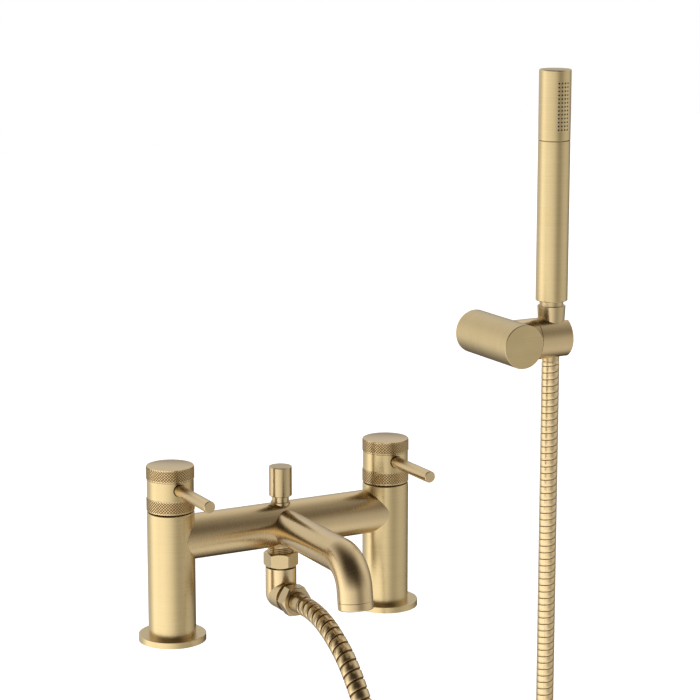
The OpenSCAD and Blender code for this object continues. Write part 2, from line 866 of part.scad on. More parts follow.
module wall_post() {
    color(brass) difference() {
        translate([post_x, wall_y, bracket_z]) rotate([90, 0, 0])
            turned_disc(post_d, post_len, 0, edge_r);
        post_bar(post_d - 2 * post_wall, post_y + front_t, wall_y + 1);
        translate([post_x, riser_y, bracket_z]) rotate([0, 90, 0])
            cylinder(d = stub_pin_d + 2 * seat_fit, h = post_d);
        translate([post_x, wall_y - plate_t / 2, bracket_z - post_d])
            cylinder(d = grub_d + 2 * seat_fit, h = post_d);
    }
}

module post_grub_screw() {
    low = bracket_z - post_d / 2 + grub_sunk;
    top = bracket_z - plate_d / 2;
    color(steel) translate([post_x, wall_y - plate_t / 2, 0]) difference() {
        union() {
            translate([0, 0, low]) cylinder(d = grub_d, h = top - low - 1);
            translate([0, 0, low]) cylinder(d = grub_d - thread_step, h = grub_len);
        }
        translate([0, 0, low - 1]) hex_socket(3);
    }
}

module arm_stub() {
    seam_gap_x = arm_seam + part_gap / 2;
    color(brass) difference() {
        union() {
            difference() {
                arm_bar(arm_d, post_offset, seam_gap_x);
                post_bar(post_d + 2 * seat_fit, post_y - 1, wall_y);
            }
            arm_bar(stub_pin_d, post_offset - post_d / 2 + post_wall, seam_gap_x);
            arm_bar(pivot_d, seam_gap_x + eps, arm_seam - pivot_len);
        }
        arm_bar(pivot_screw_d - thread_step + 2 * seat_fit, arm_seam + pivot_screw_grip, 0);
    }
}

// Screw that keeps the turning holder on its pivot, driven from inside the socket
module pivot_screw() {
    head_x = socket_edge + pivot_head_h + part_gap;
    color(steel) difference() {
        union() {
            arm_bar(pivot_screw_d - thread_step, arm_seam + pivot_screw_grip - 0.5, head_x - eps);
            arm_bar(pivot_head_d, head_x, socket_edge + part_gap);
        }
        translate([riser_x - head_x + pivot_head_h / 3, riser_y, bracket_z]) rotate([0, 90, 0])
            hex_socket(pivot_head_h);
    }
}

// Radius of the cone nut, and of the socket round it, at a height
function cone_r(z) = (cone_d - cone_taper * (cone_z - z)) / 2;
socket_edge = cone_r(bracket_z + pivot_head_d / 2) + run_fit;

module cone_bar(grow, z0, z1) {
    translate([0, 0, z0]) cylinder(r1 = cone_r(z0) + grow, r2 = cone_r(z1) + grow, h = z1 - z0);
}

module handset_holder() {
    top = bracket_z + arm_d;
    color(brass) difference() {
        translate([seam_x + part_gap / 2, riser_y, bracket_z]) rotate([0, 90, 0])
            turned_disc(arm_d, arm_seam + arm_end - part_gap / 2, edge_r / 2, edge_r);
        at_riser() cone_bar(run_fit, cone_bottom - part_gap, top);
        at_riser() translate([0, 0, bracket_z - arm_d]) cylinder(d = slot_w, h = 2 * arm_d);
        at_riser() translate([0, -slot_w / 2, bracket_z - arm_d]) cube([arm_d, slot_w, 2 * arm_d]);
        arm_bar(pivot_d + 2 * run_fit, arm_seam + 1, arm_seam - pivot_len - part_gap);
        arm_bar(pivot_screw_d + 2 * run_fit, arm_seam, 0);
        arm_bar(pivot_head_d + 2 * run_fit, socket_edge + pivot_head_h + 2 * part_gap, 0);
    }
}

// Handset

module hose_end_ferrule() {
    color(brass) at_riser() difference() {
        union() {
            translate([0, 0, top_ferrule_z])
                cylinder(d = top_ferrule_d, h = flange_z - top_ferrule_z + eps);
            translate([0, 0, flange_z]) cylinder(d = washer_d, h = ferrule_flange_t);
        }
        translate([0, 0, top_ferrule_z - 1])
            cylinder(d = top_ferrule_d - 2 * top_ferrule_wall, h = top_ferrule_show + cone_len);
    }
}

module cone_nut() {
    color(brass) at_riser() difference() {
        cone_bar(0, cone_bottom, cone_z);
        translate([0, 0, cone_bottom - 1]) cylinder(d = top_ferrule_d + 2 * seat_fit, h = cone_len);
        translate([0, 0, flange_z]) cylinder(d = neck_thread_d + 2 * seat_fit, h = cone_len);
    }
}

module handset_washer() {
    color(rubber) at_riser() ring(washer_d, neck_bore, flange_z + ferrule_flange_t, washer_t);
}

module handset_neck() {
    color(brass) at_riser() difference() {
        union() {
            translate([0, 0, neck_z])
                cylinder(d = neck_thread_d, h = barrel_z + barrel_floor + 1 - neck_z);
            translate([0, 0, barrel_z + barrel_floor])
                cylinder(d = handset_in - 2 * seat_fit, h = joint_len);
        }
        translate([0, 0, neck_z - 1]) cylinder(d = neck_bore, h = barrel_len);
    }
}

module handset_barrel() {
    color(brass) at_riser() translate([0, 0, barrel_z]) difference() {
        turned_disc(handset_d, barrel_len, edge_r, edge_r / 2);
        translate([0, 0, -1]) cylinder(d = neck_thread_d + 2 * seat_fit, h = barrel_floor + 2);
        translate([0, 0, barrel_floor]) cylinder(d = handset_in, h = barrel_len);
    }
}

// Spreads its children over the nozzle places, facing outward along -Y
module nozzle_places() {
    for (c = [0 : nozzle_cols - 1], r = [0 : nozzle_rows - 1])
        translate([0, 0, nozzle_top - r * nozzle_pitch])
            rotate([0, 0, -fan_deg / 2 + c * nozzle_step_deg]) rotate([90, 0, 0]) children();
}

module spray_head() {
    spigot_out = handset_in - 2 * seat_fit;
    color(brass) at_riser() difference() {
        union() {
            translate([0, 0, seam_z + seam_gap])
                turned_disc(handset_d, head_len - seam_gap, edge_r / 2, edge_r * 1.5);
            translate([0, 0, seam_z - joint_len]) cylinder(d = spigot_out, h = joint_len + 2);
        }
        translate([0, 0, seam_z - joint_len - 1])
            cylinder(d = spigot_out - 2 * handset_wall, h = joint_len + 3 + seam_gap);
        translate([0, 0, seam_z + seam_gap + barrel_floor])
            cylinder(d = handset_in, h = head_len - seam_gap - barrel_floor - cap_t);
        nozzle_places() cylinder(d = nozzle_d, h = handset_d);
    }
}

// Curved rubber sheet behind the spray face, with one nub in each hole
module nozzle_rubber() {
    out_r = handset_in / 2 - seat_fit;
    low = nozzle_top - nozzle_span - rubber_edge;
    color(rubber) at_riser() {
        translate([0, 0, low]) rotate([0, 0, -90 - rubber_deg / 2]) rotate_extrude(angle = rubber_deg)
            translate([out_r - rubber_t, 0]) square([rubber_t, nozzle_span + 2 * rubber_edge]);
        nozzle_places() translate([0, 0, out_r - rubber_t / 2])
            cylinder(d = nozzle_d - 2 * seat_fit, h = handset_wall + rubber_t / 2 - nub_sunk);
    }
}

at_hot() base_flange();  // hot_base_flange
at_cold() base_flange();  // cold_base_flange
at_hot() base_gasket();  // hot_base_gasket
at_cold() base_gasket();  // cold_base_gasket
at_hot() pillar(1);  // hot_pillar
at_cold() pillar(-1);  // cold_pillar
at_hot() valve_seal();  // hot_valve_seal
at_cold() valve_seal();  // cold_valve_seal
at_hot() valve_body();  // hot_valve_body
at_cold() valve_body();  // cold_valve_body
at_hot() fixed_disc();  // hot_fixed_disc
at_cold() fixed_disc();  // cold_fixed_disc
bridge_tube();
spout();
aerator_ring();
aerator();
diverter_bush();
shower_nipple();
union_nut();
elbow_washer();
outlet_elbow();
hose_nut();
hose_washer();
hose_ferrule();
shower_hose();
wall_plate();
wall_post();
post_grub_screw();
arm_stub();
pivot_screw();
at_hot() handle_ring();  // hot_handle_ring
at_hot() handle_body();  // hot_handle_body
at_hot() handle_cap();  // hot_handle_cap
at_hot() lever();  // hot_lever
at_hot() spindle();  // hot_spindle
at_hot() moving_disc();  // hot_moving_disc
at_hot() handle_screw();  // hot_handle_screw
at_cold() handle_ring();  // cold_handle_ring
at_cold() handle_body();  // cold_handle_body
at_cold() handle_cap();  // cold_handle_cap
at_cold() lever();  // cold_lever
at_cold() spindle();  // cold_spindle
at_cold() moving_disc();  // cold_moving_disc
at_cold() handle_screw();  // cold_handle_screw
diverter_knob();
diverter_stem();
diverter_disc();
handset_holder();
hose_end_ferrule();
cone_nut();
handset_washer();
handset_neck();
handset_barrel();
spray_head();
nozzle_rubber();
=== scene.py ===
"""Looks of a deck mounted bath shower mixer in brushed brass.

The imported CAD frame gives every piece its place. This script adds the pieces whose surface has real
relief: the knurled bands, the thread, the hexagon nuts, the hose's ferrule, the bent spout and the
strip-wound hose. It gives every node the finish of its real material, and it sets up a plain white studio
with the photograph's view.
Lengths are in metres, in the frame of the CAD, unless a name ends in _mm.
"""

from __future__ import annotations

import logging
import math
from bisect import bisect_right
from dataclasses import dataclass, field
from enum import Enum
from functools import partial
from typing import Callable, Iterable, Sequence

import bmesh
import bpy
from mathutils import Matrix, Vector

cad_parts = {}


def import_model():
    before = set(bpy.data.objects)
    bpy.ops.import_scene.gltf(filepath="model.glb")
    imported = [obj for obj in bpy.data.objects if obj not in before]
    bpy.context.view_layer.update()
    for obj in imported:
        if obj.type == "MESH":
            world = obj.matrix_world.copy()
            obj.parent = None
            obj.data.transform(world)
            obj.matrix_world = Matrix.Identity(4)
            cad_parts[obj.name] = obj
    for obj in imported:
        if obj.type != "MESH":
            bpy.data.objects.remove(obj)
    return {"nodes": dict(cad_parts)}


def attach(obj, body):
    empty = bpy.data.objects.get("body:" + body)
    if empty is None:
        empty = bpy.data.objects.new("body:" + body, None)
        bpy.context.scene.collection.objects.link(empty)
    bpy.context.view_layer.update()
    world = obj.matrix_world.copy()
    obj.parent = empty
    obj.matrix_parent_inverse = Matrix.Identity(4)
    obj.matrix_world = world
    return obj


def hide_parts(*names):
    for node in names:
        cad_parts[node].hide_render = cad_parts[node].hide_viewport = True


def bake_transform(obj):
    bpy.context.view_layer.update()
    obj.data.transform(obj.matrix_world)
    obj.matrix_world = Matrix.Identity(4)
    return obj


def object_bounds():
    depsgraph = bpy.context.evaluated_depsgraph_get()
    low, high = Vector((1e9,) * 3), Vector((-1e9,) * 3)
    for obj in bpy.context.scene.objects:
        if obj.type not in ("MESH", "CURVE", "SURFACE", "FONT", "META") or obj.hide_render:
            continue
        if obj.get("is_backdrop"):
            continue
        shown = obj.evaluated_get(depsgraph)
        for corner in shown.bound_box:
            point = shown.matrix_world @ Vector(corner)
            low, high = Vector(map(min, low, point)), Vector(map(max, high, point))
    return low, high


LOG = logging.getLogger("bath_shower_mixer")
MM = 0.001

Nodes = dict[str, bpy.types.Object]
Ring = list[Vector]
Reach = Callable[[float], float]


def linear_colour(code: str) -> tuple[float, float, float, float]:
    """Turn an sRGB hex colour into Blender's linear colour.

    Args:
        code: The colour as "#RRGGBB".

    Returns:
        Linear red, green, blue and an alpha of 1.
    """
    parts = [int(code[i : i + 2], 16) / 255 for i in (1, 3, 5)]
    red, green, blue = (p / 12.92 if p <= 0.04045 else ((p + 0.055) / 1.055) ** 2.4 for p in parts)
    return red, green, blue, 1.0


def add_node(
    tree: bpy.types.NodeTree, kind: str, inputs: dict[str | int, object] | None = None, **settings: object
) -> bpy.types.Node:
    """Add one node with its settings, its constants and its links.

    Args:
        tree: The node tree to add to.
        kind: Blender's type name of the node.
        inputs: For each input, by name or number, a constant or the socket to link from.
        **settings: Properties of the node itself.

    Returns:
        The new node.
    """
    node = tree.nodes.new(kind)
    for name, value in settings.items():
        setattr(node, name, value)
    for key, value in (inputs or {}).items():
        if isinstance(value, bpy.types.NodeSocket):
            tree.links.new(value, node.inputs[key])
        else:
            node.inputs[key].default_value = value
    return node


def empty_material(name: str) -> bpy.types.Material:
    """Make a material with an empty node tree.

    Args:
        name: The material's name.

    Returns:
        The new material.
    """
    material = bpy.data.materials.new(name)
    material.use_nodes = True
    material.node_tree.nodes.clear()
    return material


class BrushWay(Enum):
    """Axis that a piece was turned about while it was brushed; the lines run round that axis."""

    ROUND_X = "X"
    ROUND_Y = "Y"
    ROUND_Z = "Z"
    ROUND_PATH = "UV"

    def stretch(self, fine: float, coarse: float) -> tuple[float, float, float]:
        """Scale a pattern finely along the axis and coarsely round it.

        Args:
            fine: Pattern scale along the axis, per metre.
            coarse: Pattern scale round the axis, per metre.

        Returns:
            The scale for each texture coordinate.
        """
        if self is BrushWay.ROUND_PATH:
            return coarse, fine, coarse
        along_x, along_y, along_z = (fine if self.value == axis else coarse for axis in "XYZ")
        return along_x, along_y, along_z

    def stretch_ends(self, fine: float, coarse: float) -> tuple[float, float, float]:
        """Scale a pattern for the flat ends, which are brushed straight across.

        Args:
            fine: Pattern scale across the strokes, per metre.
            coarse: Pattern scale along them, per metre.

        Returns:
            The scale for each texture coordinate.
        """
        return (coarse, fine, coarse) if self is BrushWay.ROUND_Z else (coarse, coarse, fine)


@dataclass(frozen=True)
class BrushedBrass:
    """Brass, brushed on the lathe and lacquered: highlights drawn out along its axis, lines round it."""

    name: str = "brushed_brass"
    colour: str = "#D0BB8E"
    line_colour: str = "#BCA678"
    roughness_low: float = 0.27
    roughness_high: float = 0.31
    anisotropy: float = 0.25
    # Real brush lines lie about 0.1 mm apart, too fine to show, so they are drawn this far apart.
    line_gap_mm: float = 0.9
    line_length_mm: float = 60.0
    line_depth_mm: float = 0.002
    line_bump: float = 0.12
    cloud_mm: float = 18.0
    cloud_share: float = 0.3
    # The pattern's values between which a line goes from smooth to rough
    line_low: float = 0.3
    line_high: float = 0.7
    # A face whose normal has more than this along the axis is a flat end
    end_from: float = 0.95
    # A quarter turn lays the highlights along the axis
    highlight_turn: float = 0.25

    def material(self, way: BrushWay) -> bpy.types.Material:
        """Make the material for one way of brushing, or find it.

        Args:
            way: The axis that the brush lines run round.

        Returns:
            The material.
        """
        label = f"{self.name}_{way.name.lower()}"
        if label in bpy.data.materials:
            return bpy.data.materials[label]
        material = empty_material(label)
        tree = material.node_tree
        by_path = way is BrushWay.ROUND_PATH
        coordinates = add_node(tree, "ShaderNodeTexCoord").outputs
        place = coordinates["UV" if by_path else "Object"]
        fine, coarse = 1 / (self.line_gap_mm * MM), 1 / (self.line_length_mm * MM)

        def strokes(scale: tuple[float, float, float]) -> bpy.types.NodeSocket:
            """Draw brush lines.

            Args:
                scale: The pattern's scale for each coordinate, per metre.

            Returns:
                The socket that gives the lines.
            """
            stretched = add_node(tree, "ShaderNodeMapping", {"Vector": place, "Scale": scale})
            return add_node(
                tree,
                "ShaderNodeTexNoise",
                {"Vector": stretched.outputs[0], "Scale": 1.0, "Detail": 2.0, "Roughness": 0.6},
            ).outputs[0]

        lines = strokes(way.stretch(fine, coarse))
        if not by_path:
            along = add_node(tree, "ShaderNodeSeparateXYZ", {0: coordinates["Normal"]}).outputs[way.value]
            size = add_node(tree, "ShaderNodeMath", {0: along}, operation="ABSOLUTE").outputs[0]
            flat_end = add_node(
                tree, "ShaderNodeMath", {0: size, 1: self.end_from}, operation="GREATER_THAN"
            ).outputs[0]
            ends = strokes(way.stretch_ends(fine, coarse))
            lines = add_node(tree, "ShaderNodeMix", {0: flat_end, 2: lines, 3: ends}).outputs[0]
        clouds = add_node(
            tree, "ShaderNodeTexNoise", {"Vector": place, "Scale": 1 / (self.cloud_mm * MM), "Detail": 1.0}
        ).outputs[0]
        roughness = add_node(
            tree,
            "ShaderNodeMapRange",
            {0: lines, 1: self.line_low, 2: self.line_high, 3: self.roughness_low, 4: self.roughness_high},
        ).outputs[0]
        shade = add_node(tree, "ShaderNodeMix", {0: self.cloud_share, 2: lines, 3: clouds}).outputs[0]
        colour = add_node(
            tree,
            "ShaderNodeMix",
            {0: shade, 6: linear_colour(self.line_colour), 7: linear_colour(self.colour)},
            data_type="RGBA",
        ).outputs[2]
        bump = add_node(
            tree,
            "ShaderNodeBump",
            {"Height": lines, "Strength": self.line_bump, "Distance": self.line_depth_mm * MM},
        ).outputs[0]
        if by_path:
            tangent = add_node(tree, "ShaderNodeTangent", direction_type="UV_MAP").outputs[0]
        else:
            tangent = add_node(tree, "ShaderNodeTangent", direction_type="RADIAL", axis=way.value).outputs[0]
        surface = add_node(
            tree,
            "ShaderNodeBsdfPrincipled",
            {
                "Base Color": colour,
                "Metallic": 1.0,
                "Roughness": roughness,
                "Anisotropic": self.anisotropy,
                "Anisotropic Rotation": self.highlight_turn,
                "Normal": bump,
                "Tangent": tangent,
            },
        )
        add_node(tree, "ShaderNodeOutputMaterial", {"Surface": surface.outputs[0]})
        return material


@dataclass(frozen=True)
class PlainFinish:
    """An even finish with a faint mottle: turned metal, moulded rubber or plastic, lapped ceramic."""

    name: str
    colour: str
    mottle_colour: str
    roughness: float
    metallic: float = 0.0
    grain_mm: float = 0.6
    grain_depth_mm: float = 0.02
    grain_bump: float = 0.2

    def material(self) -> bpy.types.Material:
        """Make the material, or find it.

        Returns:
            The material.
        """
        if self.name in bpy.data.materials:
            return bpy.data.materials[self.name]
        material = empty_material(self.name)
        tree = material.node_tree
        place = add_node(tree, "ShaderNodeTexCoord").outputs["Object"]
        grain = add_node(
            tree, "ShaderNodeTexNoise", {"Vector": place, "Scale": 1 / (self.grain_mm * MM), "Detail": 3.0}
        ).outputs[0]
        colour = add_node(
            tree,
            "ShaderNodeMix",
            {0: grain, 6: linear_colour(self.colour), 7: linear_colour(self.mottle_colour)},
            data_type="RGBA",
        ).outputs[2]
        bump = add_node(
            tree,
            "ShaderNodeBump",
            {"Height": grain, "Strength": self.grain_bump, "Distance": self.grain_depth_mm * MM},
        ).outputs[0]
        surface = add_node(
            tree,
            "ShaderNodeBsdfPrincipled",
            {"Base Color": colour, "Metallic": self.metallic, "Roughness": self.roughness, "Normal": bump},
        )
        add_node(tree, "ShaderNodeOutputMaterial", {"Surface": surface.outputs[0]})
        return material


BRASS = BrushedBrass()
# Tubes, levers and hose are brushed with a finer wheel: the same soft shine, with lines that are too faint
# to tell apart.
FINE_BRASS = BrushedBrass("fine_brushed_brass", "#D1BA8F", "#CAB287", 0.24, 0.28, line_depth_mm=0.0005)
# Small turned fittings come from another bar, a shade darker and browner under the same brush.
FITTING_BRASS = BrushedBrass("brushed_fitting_brass", "#BFAB83", "#B9A37B", 0.24, 0.28, line_depth_mm=0.0005)
# Knurling is pressed in after brushing: its small facets are as bright, and carry no brush lines.
KNURLED_BRASS = PlainFinish("knurled_brass", "#D1BA8F", "#CAB287", 0.3, metallic=1.0)
# Faces deep in the grooves are painted dark brown as shade, and dull.
GROOVE_SHADE_BRASS = PlainFinish("groove_painted_shade", "#7E5F36", "#6E5230", 0.5, metallic=1.0)
# The flanks of the knurling are painted a little darker as shade, and are a little duller than the brass
# that was brushed.
KNURL_FLANK_SHADE_BRASS = PlainFinish("knurl_flank_painted_shade", "#BFA576", "#B29767", 0.4, metallic=1.0)
# Turned brass inside the valves keeps its yellow, without lacquer.
TURNED_BRASS = PlainFinish("turned_brass", "#D9B56E", "#C9A45E", 0.32, metallic=1.0)
# Nitrile seals and silicone nozzles are near black and matt.
NITRILE_RUBBER = PlainFinish("nitrile_rubber", "#15120F", "#1D1916", 0.65)
# Alumina discs are lapped flat, cream white with a dull shine.
ALUMINA_CERAMIC = PlainFinish("alumina_ceramic", "#ECE8DC", "#E3DED0", 0.25)
# The aerator's insert is moulded acetal, an off-white that shows little gloss.
ACETAL_PLASTIC = PlainFinish("acetal_plastic", "#D8D8D4", "#CFCFCA", 0.45)
# Screws are plain stainless steel.
STAINLESS_STEEL = PlainFinish("stainless_steel", "#B9B8B4", "#A9A8A4", 0.3, metallic=1.0)


def dress(nodes: Nodes, names: Iterable[str], material: bpy.types.Material) -> None:
    """Give CAD nodes their material.

    Args:
        nodes: The frame's nodes by name.
        names: The nodes to dress.
        material: What they are made of.
    """
    for name in names:
        slots = nodes[name].data.materials
        slots.clear()
        slots.append(material)
        LOG.info("dressed %s in %s", name, material.name)


@dataclass
class Skin:
    """Points and faces of one piece while it is being made."""

    points: list[Vector] = field(default_factory=list)
    faces: list[Sequence[int]] = field(default_factory=list)
    # Numbers of the faces inside grooves, which take the piece's second material: a darker painted shade
    grooved: list[int] = field(default_factory=list)

    def add(self, ring: Iterable[Vector]) -> list[int]:
        """Add points.

        Args:
            ring: The points in their order.

        Returns:
            Their indices.
        """
        first = len(self.points)
        self.points += ring
        return list(range(first, len(self.points)))

    def join(self, low: Sequence[int], high: Sequence[int], groove: bool = False) -> None:
        """Close the strip between two rings of equally many points.

        Args:
            low: Indices of the first ring.
            high: Indices of the second ring.
            groove: Whether the strip lies in a groove.
        """
        if groove:
            self.grooved += range(len(self.faces), len(self.faces) + len(low))
        for j in range(len(low)):
            self.faces.append((low[j - 1], low[j], high[j], high[j - 1]))

    def tube(self, rings: Iterable[Ring]) -> list[list[int]]:
        """Add rings that follow each other over a skin.

        Args:
            rings: Rings of equally many points.

        Returns:
            The rings' indices.
        """
        added = [self.add(ring) for ring in rings]
        for low, high in zip(added, added[1:]):
            self.join(low, high)
        return added

    def piece(self, name: str, crease_deg: float = 35.0) -> bpy.types.Object:
        """Make the mesh object, smooth except across its creases.

        Args:
            name: The piece's name.
            crease_deg: Angle between faces from which an edge stays sharp, in degrees.

        Returns:
            The new object, in the scene.
        """
        mesh = bpy.data.meshes.new(name)
        mesh.from_pydata([tuple(p) for p in self.points], [], [tuple(f) for f in self.faces])
        work = bmesh.new()
        work.from_mesh(mesh)
        bmesh.ops.recalc_face_normals(work, faces=work.faces)
        work.to_mesh(mesh)
        work.free()
        for number in self.grooved:
            mesh.polygons[number].material_index = 1
        mesh.shade_smooth()
        mesh.set_sharp_from_angle(angle=math.radians(crease_deg))
        piece = bpy.data.objects.new(name, mesh)
        bpy.context.scene.collection.objects.link(piece)
        return piece


def turned_ring(reach: Reach | float, height: float, sides: int, place: Matrix) -> Ring:
    """Make one ring of points round the Z axis of a place.

    Args:
        reach: The ring's radius, or a function that gives it for an angle in radians.
        height: Place along the axis.
        sides: Points in the ring.
        place: Takes the axis to its place in the frame.

    Returns:
        The ring's points.
    """
    ring = []
    for j in range(sides):
        turn = math.tau * j / sides
        radius = reach(turn) if callable(reach) else reach
        ring.append(place @ Vector((radius * math.cos(turn), radius * math.sin(turn), height)))
    return ring


def settle(piece: bpy.types.Object, body: str, node: str, *materials: bpy.types.Material) -> None:
    """Finish a new piece: its materials, the body that it rides on and the node that it stands for.

    Args:
        piece: The new piece.
        body: The body that it moves with.
        node: The CAD node that it replaces.
        *materials: What it is made of, then the painted shade for its grooves.
    """
    for material in materials:
        piece.data.materials.append(material)
    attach(piece, body)
    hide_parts(node)
    LOG.info("built %s on %s for %s", piece.name, body, node)


@dataclass
class HoseCourse:
    """The middle line of the hose, walked by the length from its start."""

    points: list[Vector]
    # Square to the plane that the loop hangs in
    square: Vector
    lengths: list[float] = field(init=False)

    def __post_init__(self) -> None:
        """Add up the length to each point."""
        self.lengths = [0.0]
        for a, b in zip(self.points, self.points[1:]):
            self.lengths.append(self.lengths[-1] + (b - a).length)

    def section(self, s: float) -> tuple[Vector, Vector, Vector]:
        """Cut across the course.

        Args:
            s: Length from the start.

        Returns:
            The centre there and two cross directions.
        """
        points, lengths = self.points, self.lengths
        low = min(bisect_right(lengths, s) - 1, len(lengths) - 2)
        part = (s - lengths[low]) / (lengths[low + 1] - lengths[low])
        ahead = points[min(low + 2, len(points) - 1)] - points[max(low - 1, 0)]
        side = ahead.cross(self.square).normalized()
        return points[low].lerp(points[low + 1], part), side, ahead.normalized().cross(side)


@dataclass
class ShowerHose:
    """Strip-wound brass hose from the elbow, down round a hanging loop and up into the handset's nut."""

    diameter: float = 14.5 * MM
    # The narrower stretch inside the handset's ferrule, which comes out when the handset is lifted
    inner_diameter: float = 13.2 * MM
    inner_top: float = 212.0 * MM
    pitch: float = 5.65 * MM
    # The first stretch is drawn out by its bend, so its turns lie wider apart, up to the length drawn_to;
    # the pitch is even again from even_from
    drawn_pitch: float = 7.4 * MM
    drawn_to: float = 0.15
    even_from: float = 0.45
    length: float = 1.25
    sides: int = 40
    steps: int = 16
    # Share of the pitch, and depth in millimetres, at each row across one turn of the strip
    strip: tuple[tuple[float, float], ...] = (
        (0.00, 0.80),
        (0.04, 0.80),
        (0.05, 0.40),
        (0.065, 0.10),
        (0.10, 0.00),
        (0.55, 0.00),
        (0.955, 0.00),
        (0.975, 0.10),
        (0.99, 0.40),
    )
    # Share of the pitch that is open groove, where the pitch is even and where the hose is drawn out
    gap_share: float = 0.04
    drawn_gap_share: float = 0.19
    # Rows of the strip that start a stretch of groove, which takes the painted shade
    groove_rows: tuple[int, ...] = (0, 1, 8)
    bend_from: tuple[float, float, float] = (0.276, 0.057, 0.035)
    bend_to: tuple[float, float, float] = (0.276, 0.057, 0.150)
    square_to: tuple[float, float, float] = (0.9, -0.44, 0.0)
    # The route's points in millimetres, as in the CAD
    route_mm: tuple[tuple[float, float, float], ...] = (
        (0, -40, 22.5), (0, -48, 22.5), (0, -61, 21), (0, -75, 17), (0, -90, 10),
        (0, -104, 1), (0, -117, -11), (0, -129, -25), (0, -140, -42), (0, -148, -62),
        (0, -153, -85), (0, -155, -112), (0, -155, -150), (0, -155, -188), (0, -155, -226),
        (6, -150, -272), (18, -141, -314), (40, -124, -350), (69, -102, -378), (102, -77, -395),
        (138, -49, -401), (174, -21, -395), (207, 4, -378), (236, 26, -350), (258, 43, -314),
        (270, 52, -272), (276, 57, -226), (276, 57, -170), (276, 57, -110), (276, 57, -50),
        (276, 57, 10), (276, 57, 70), (276, 57, 120), (276, 57, 149), (276, 57, 164),
    )

    def course(self) -> HoseCourse:
        """Draw the smooth curve through the route's points, then straight up into the ferrule.

        Returns:
            The hose's course.
        """
        points = [Vector(p) * MM for p in self.route_mm]
        ends = [points[0], *points, points[-1]]
        curve = []
        for a, b, c, d in zip(ends, ends[1:], ends[2:], ends[3:]):
            for k in range(self.steps):
                u = k / self.steps
                bend = (2 * a - 5 * b + 4 * c - d) * u**2 + (3 * b - a - 3 * c + d) * u**3
                curve.append((2 * b + (c - a) * u + bend) / 2)
        top = points[-1].copy()
        top.z = self.inner_top
        return HoseCourse([*curve, points[-1], top], Vector(self.square_to))

    def marks(self, total: float) -> list[float]:
        """Give the length along the hose at each side of each turn of the strip.

        Args:
            total: The length of the whole course.

        Returns:
            The lengths, as many to a turn as the hose has sides.
        """
        marks = [0.0]
        while marks[-1] < total:
            part = (marks[-1] - self.drawn_to) / (self.even_from - self.drawn_to)
            pitch = self.drawn_pitch + (self.pitch - self.drawn_pitch) * min(max(part, 0.0), 1.0)
            marks.append(marks[-1] + pitch / self.sides)
        return marks

    def build(self) -> None:
        course = self.course()
        narrow_from, total = course.lengths[-2:]
        skin = Skin()
        rows: list[list[int]] = []
        marks = self.marks(total)
        turns = math.ceil(len(marks) / self.sides) + 1
        # Just short of the last mark, so that there is always a next one
        last = len(marks) - 1.001

        def reach(turn: float) -> float:
            """Find a turn's place on the course, held between its ends.

            Args:
                turn: Number of turns from the start.

            Returns:
                The length along the course.
            """
            place = min(max(turn * self.sides, 0.0), last)
            low = int(place)
            return min(marks[low] + (marks[low + 1] - marks[low]) * (place - low), total)

        def opened(turn: float, share: float) -> float:
            """Widen the groove's share of a turn by as much as the hose is drawn out there.

            Args:
                turn: Number of turns from the start.
                share: Place across the turn, as a share of an even pitch.

            Returns:
                Number of turns to that place.
            """
            drawn = (reach(turn + 1) - reach(turn) - self.pitch) / (self.drawn_pitch - self.pitch)
            gap = self.gap_share + (self.drawn_gap_share - self.gap_share) * min(max(drawn, 0.0), 1.0)
            if share < self.gap_share:
                return turn + share * gap / self.gap_share
            return turn + gap + (share - self.gap_share) * (1 - gap) / (1 - self.gap_share)

        for turn, share, depth_mm in ((turn, *row) for turn in range(-1, turns) for row in self.strip):
            ring = []
            for j in range(self.sides):
                s = reach(opened(turn + j / self.sides, share))
                centre, side, up = course.section(s)
                width = self.inner_diameter if s > narrow_from else self.diameter
                angle = math.tau * j / self.sides
                spoke = math.cos(angle) * side + math.sin(angle) * up
                ring.append(centre + (width / 2 - depth_mm * MM) * spoke)
            rows.append(skin.add(ring))
        # A row runs once round the hose and ends one pitch on, where the next turn of the same row starts
        whole = [row + nxt[:1] for row, nxt in zip(rows, rows[len(self.strip) :])]
        for k, (low, high) in enumerate(zip(whole, whole[1:])):
            # Rows in the groove take the second material, painted dark as shade
            if k % len(self.strip) in self.groove_rows:
                skin.grooved += range(len(skin.faces), len(skin.faces) + self.sides)
            for j in range(self.sides):
                skin.faces.append((low[j], low[j + 1], high[j + 1], high[j]))
        hose = skin.piece("shower_hose_strip", crease_deg=40.0)
        self.unwrap(hose)
        hose.data.materials.append(FINE_BRASS.material(BrushWay.ROUND_PATH))
        hose.data.materials.append(GROOVE_SHADE_BRASS.material())
        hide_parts("shower_hose")
        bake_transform(hose)
        LOG.info("built %s, %d turns of strip", hose.name, turns)

    def unwrap(self, hose: bpy.types.Object) -> None:
        """Lay the strip flat as texture coordinates, in metres round and along the hose.

        Args:
            hose: The hose, with its points in rows of as many points as it has sides.
        """
        around = math.pi * self.diameter
        layer = hose.data.uv_layers.new(name="strip")
        for face in hose.data.polygons:
            wraps = max(face.vertices) - min(face.vertices) > 2 * self.sides
            for corner, index in zip(face.loop_indices, face.vertices):
                row, j = divmod(index, self.sides)
                turn, step = divmod(row, len(self.strip))
                share = turn + self.strip[step][0] + j / self.sides
                u = 1.0 if wraps and j == 0 else j / self.sides
                layer.data[corner].uv = (u * around, share * self.pitch)


